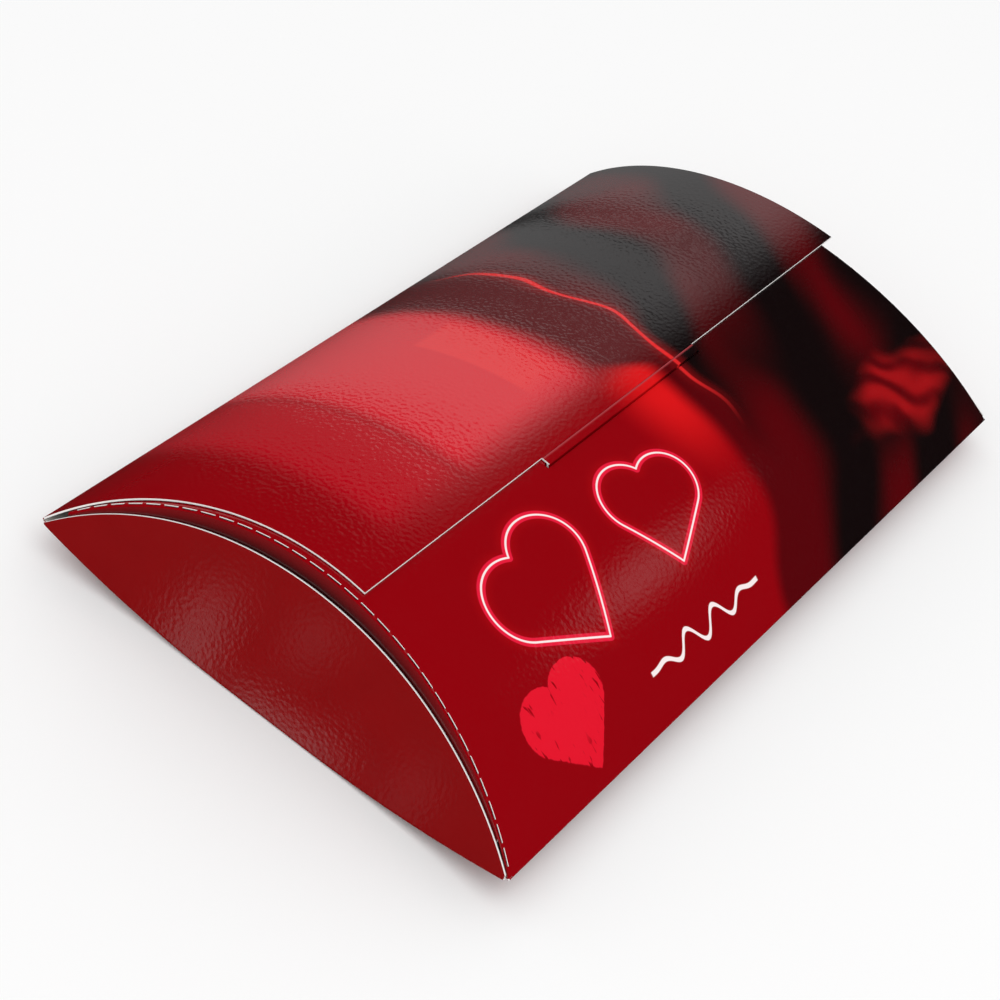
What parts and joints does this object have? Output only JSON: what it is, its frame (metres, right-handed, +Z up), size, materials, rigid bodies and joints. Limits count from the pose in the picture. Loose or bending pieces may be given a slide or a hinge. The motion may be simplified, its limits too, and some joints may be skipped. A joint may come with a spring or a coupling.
{
  "type": "pillow box",
  "caption": "Pillow-shaped folding carton for clothing, with an arched hinged lid locked by a tab in a slot, perforated curved creases and nested curved end flaps.",
  "frame": {"origin": "on the table, in the middle of the flat strip that the box stands on", "axes": "+X along the box, towards the far end in the picture; +Y from the front crease to the rear crease that the lid turns on; +Z up"},
  "size_m": [0.2418, 0.151, 0.044],
  "materials": {
    "panel_print": "gloss laminate",
    "front_print": "gloss laminate",
    "lid_print": "gloss laminate",
    "flap_print": "satin laminate",
    "inner_flap_print": "satin laminate"
  },
  "bodies": {
    "base": {"bottom_panel": "panel_print", "top_panel": "front_print"},
    "lid": {"lid": "lid_print"},
    "lock_tab": {"lock_tab": "lid_print"},
    "outer_flap_left": {"outer_end_flap_left": "flap_print"},
    "outer_flap_right": {"outer_end_flap_right": "flap_print"},
    "inner_flap_left": {"inner_end_flap_left": "inner_flap_print"},
    "inner_flap_right": {"inner_end_flap_right": "inner_flap_print"}
  },
  "joints": [
    {"name": "lid_hinge", "type": "hinge", "parent": "base", "child": "lid", "pos_m": [0, 0.07543, 0.0106], "axis": [-1, 0, 0], "range_deg": [0, 115]},
    {"name": "tab_fold", "type": "hinge", "parent": "lid", "child": "lock_tab", "pos_m": [0, -0.012, 0.04307], "axis": [-1, 0, 0], "range_deg": [0, 17.25]},
    {"name": "left_outer_flap_hinge", "type": "hinge", "parent": "base", "child": "outer_flap_left", "pos_m": [-0.11928, 0, 0.00022], "axis": [0, -1, 0], "range_deg": [0, 80]},
    {"name": "right_outer_flap_hinge", "type": "hinge", "parent": "base", "child": "outer_flap_right", "pos_m": [0.11928, 0, 0.00022], "axis": [0, 1, 0], "range_deg": [0, 80]},
    {"name": "left_inner_flap_hinge", "type": "hinge", "parent": "base", "child": "inner_flap_left", "pos_m": [-0.10683, 0, 0.04303], "axis": [0, -1, 0], "range_deg": [0, 38]},
    {"name": "right_inner_flap_hinge", "type": "hinge", "parent": "base", "child": "inner_flap_right", "pos_m": [0.10683, 0, 0.04303], "axis": [0, 1, 0], "range_deg": [0, 38]}
  ],
  "couplings": [
    {"joint": "tab_fold", "follows": "lid_hinge", "ratio": 0.15}
  ]
}
